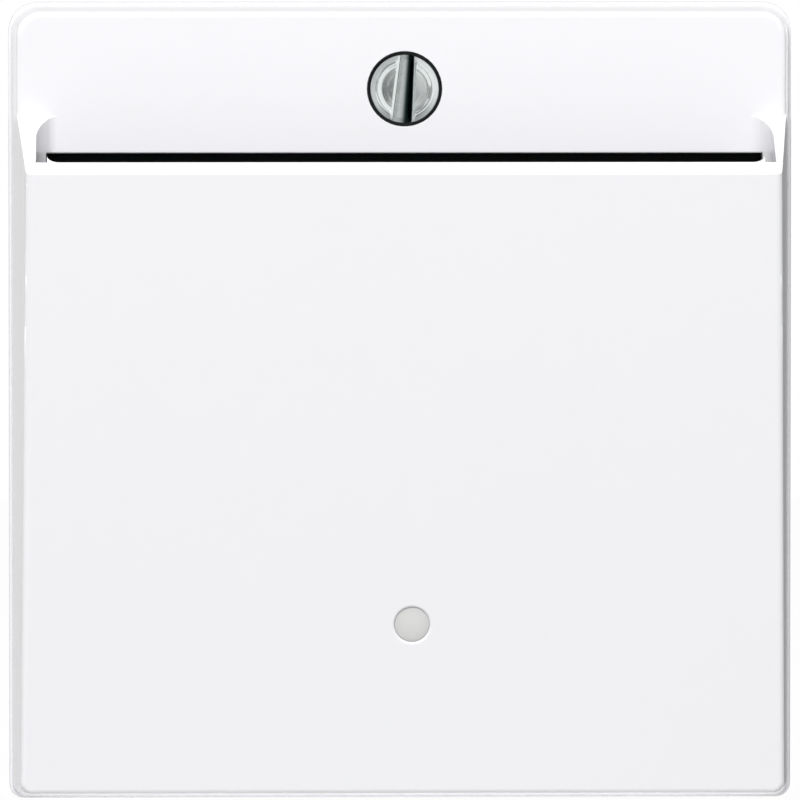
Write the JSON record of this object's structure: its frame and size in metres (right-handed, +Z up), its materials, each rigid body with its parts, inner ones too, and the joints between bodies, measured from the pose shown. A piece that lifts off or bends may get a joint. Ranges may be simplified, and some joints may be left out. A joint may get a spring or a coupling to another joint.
{
  "type": "hotel key card switch",
  "caption": "Flush hotel key card switch: wedge cover with a card slot, sprung card flap and screwless switch insert on a steel ring.",
  "frame": {"origin": "centre of the two box screws, on the rear face of the support ring, which is the wall plane", "axes": "+Z up, +X to the right seen from the room, the front faces -Y"},
  "size_m": [0.07, 0.0408, 0.0712],
  "materials": {
    "cover_white": "smooth satin gloss moulded plastic",
    "pocket_black": "fine matt dark plastic",
    "lens_milky": "milky translucent plastic",
    "clear_guide": "clear plastic rod",
    "screw_steel": "nickel plated, turned head",
    "pin_steel": "ground steel",
    "spring_steel": "drawn stainless steel",
    "ring_steel": "galvanised sheet steel",
    "rivet_steel": "plated steel",
    "base_grey": "matt moulded thermoset plastic",
    "cap_grey": "matt moulded plastic",
    "cradle_white": "moulded plastic",
    "leaf_bronze": "rolled spring bronze",
    "contact_silver": "silver alloy",
    "strip_brass": "stamped brass",
    "key_orange": "matt moulded plastic",
    "lamp_glass": "clear lamp body",
    "claw_steel": "bent and plated sheet steel",
    "claw_screw_steel": "plated steel"
  },
  "bodies": {
    "mounted_unit": {"cover_housing": "cover_white", "front_panel": "cover_white", "card_guide": "pocket_black", "indicator_lens": "lens_milky", "light_guide": "clear_guide", "cover_screw": "screw_steel", "flap_pin": "pin_steel", "flap_spring": "spring_steel", "support_ring": "ring_steel", "ring_rivets": "rivet_steel", "insert_base": "base_grey", "insert_cap": "cap_grey", "fixed_contact": "contact_silver", "supply_strip": "strip_brass", "switched_strip": "strip_brass", "neutral_strip": "strip_brass", "clamp_springs": "spring_steel", "lamp_holder": "cap_grey", "lamp": "lamp_glass"},
    "flap": {"card_flap": "pocket_black"},
    "cradle": {"rocker_cradle": "cradle_white"},
    "leaf": {"contact_leaf": "leaf_bronze", "moving_contact": "contact_silver"},
    "key_supply": {"release_key_supply": "key_orange"},
    "key_switched": {"release_key_switched": "key_orange"},
    "key_neutral": {"release_key_neutral": "key_orange"},
    "claw_l": {"claw_left": "claw_steel"},
    "claw_r": {"claw_right": "claw_steel"},
    "screw_l": {"claw_screw_left": "claw_screw_steel"},
    "screw_r": {"claw_screw_right": "claw_screw_steel"}
  },
  "joints": [
    {"name": "flap_tilt", "type": "hinge", "parent": "mounted_unit", "child": "flap", "pos_m": [0, -0.0039, 0.0085], "axis": [1, 0, 0], "range_deg": [0, 9], "stiffness_Nm_per_rad": 0.03, "springref_deg": -5.73},
    {"name": "cradle_tilt", "type": "hinge", "parent": "mounted_unit", "child": "cradle", "pos_m": [0, 0.0022, 0.0036], "axis": [1, 0, 0], "range_deg": [0, 12.6]},
    {"name": "leaf_flex", "type": "hinge", "parent": "mounted_unit", "child": "leaf", "pos_m": [0, 0.0093, 0.009], "axis": [1, 0, 0], "range_deg": [0, 7.4], "stiffness_Nm_per_rad": 0.02, "springref_deg": -2.86},
    {"name": "key_supply_press", "type": "slide", "parent": "mounted_unit", "child": "key_supply", "axis": [0, -1, 0], "range_m": [0, 0.0012], "stiffness_N_per_m": 1500, "springref_m": -0.0005},
    {"name": "key_switched_press", "type": "slide", "parent": "mounted_unit", "child": "key_switched", "axis": [0, -1, 0], "range_m": [0, 0.0012], "stiffness_N_per_m": 1500, "springref_m": -0.0005},
    {"name": "key_neutral_press", "type": "slide", "parent": "mounted_unit", "child": "key_neutral", "axis": [0, -1, 0], "range_m": [0, 0.0012], "stiffness_N_per_m": 1500, "springref_m": -0.0005},
    {"name": "screw_l_turn", "type": "hinge", "parent": "mounted_unit", "child": "screw_l", "pos_m": [-0.0232, 0, 0], "axis": [0, 1, 0], "range_deg": [0, 900]},
    {"name": "claw_l_swing", "type": "hinge", "parent": "mounted_unit", "child": "claw_l", "pos_m": [-0.0232, 0.0032, 0], "axis": [0, 0, 1], "range_deg": [0, 25.2]},
    {"name": "screw_r_turn", "type": "hinge", "parent": "mounted_unit", "child": "screw_r", "pos_m": [0.0232, 0, 0], "axis": [0, 1, 0], "range_deg": [0, 900]},
    {"name": "claw_r_swing", "type": "hinge", "parent": "mounted_unit", "child": "claw_r", "pos_m": [0.0232, 0.0032, 0], "axis": [0, 0, -1], "range_deg": [0, 25.2]}
  ],
  "couplings": [
    {"joint": "cradle_tilt", "follows": "flap_tilt", "ratio": 1.392},
    {"joint": "leaf_flex", "follows": "flap_tilt", "ratio": 0.81},
    {"joint": "claw_l_swing", "follows": "screw_l_turn", "ratio": 0.0278},
    {"joint": "claw_r_swing", "follows": "screw_r_turn", "ratio": 0.0278}
  ]
}
